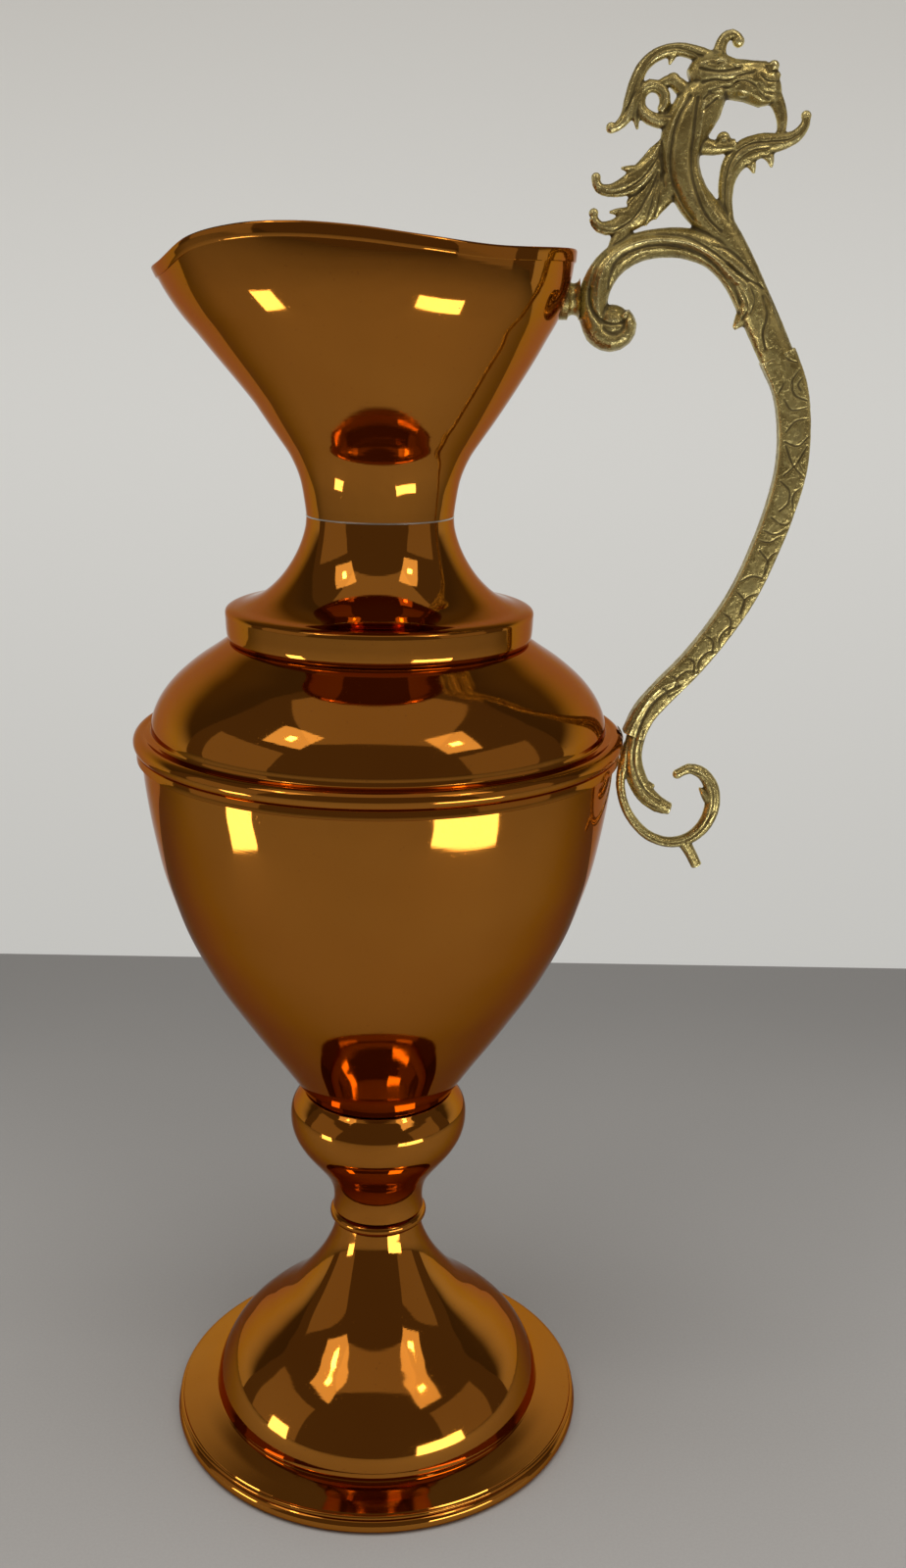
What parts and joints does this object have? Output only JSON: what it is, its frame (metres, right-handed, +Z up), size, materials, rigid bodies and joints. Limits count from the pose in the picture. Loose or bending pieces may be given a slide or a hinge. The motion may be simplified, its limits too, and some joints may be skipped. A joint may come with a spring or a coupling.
{
  "type": "ewer",
  "caption": "Tall spun copper ewer with a flared pouring mouth, waisted neck, beaded girdle, tapering bowl, knop stem, bell foot and a cast brass scroll handle ending in a dragon head",
  "frame": {"origin": "centre of the foot on the table", "axes": "+Z up, pouring lip towards -X, handle towards +X"},
  "size_m": [0.2564, 0.1912, 0.5617],
  "materials": {
    "copper_sheet": "polished and clear lacquered copper, golden orange",
    "cast_brass": "aged cast brass, dark in the hollows, rubbed on the high points",
    "solder": "dull tin solder",
    "steel": "plain steel, satin",
    "seal": "soft sealing washer"
  },
  "bodies": {
    "root": {"foot_bell": "copper_sheet", "foot_rim_wire": "steel", "stem_ring": "copper_sheet", "knop_shell": "copper_sheet", "body_bowl": "copper_sheet", "shoulder_dome": "copper_sheet", "girdle_solder": "solder", "neck_cone": "copper_sheet", "collar_solder": "solder", "neck_solder": "solder", "mouth_funnel": "copper_sheet", "rim_binding": "copper_sheet", "tie_plate": "cast_brass", "tie_stud": "steel", "foot_spreader": "steel", "tie_washer": "steel", "tie_nut": "steel", "handle_casting": "cast_brass", "handle_boss": "cast_brass", "seal_washer": "seal", "handle_screw": "steel", "handle_solder": "solder"}
  },
  "joints": []
}
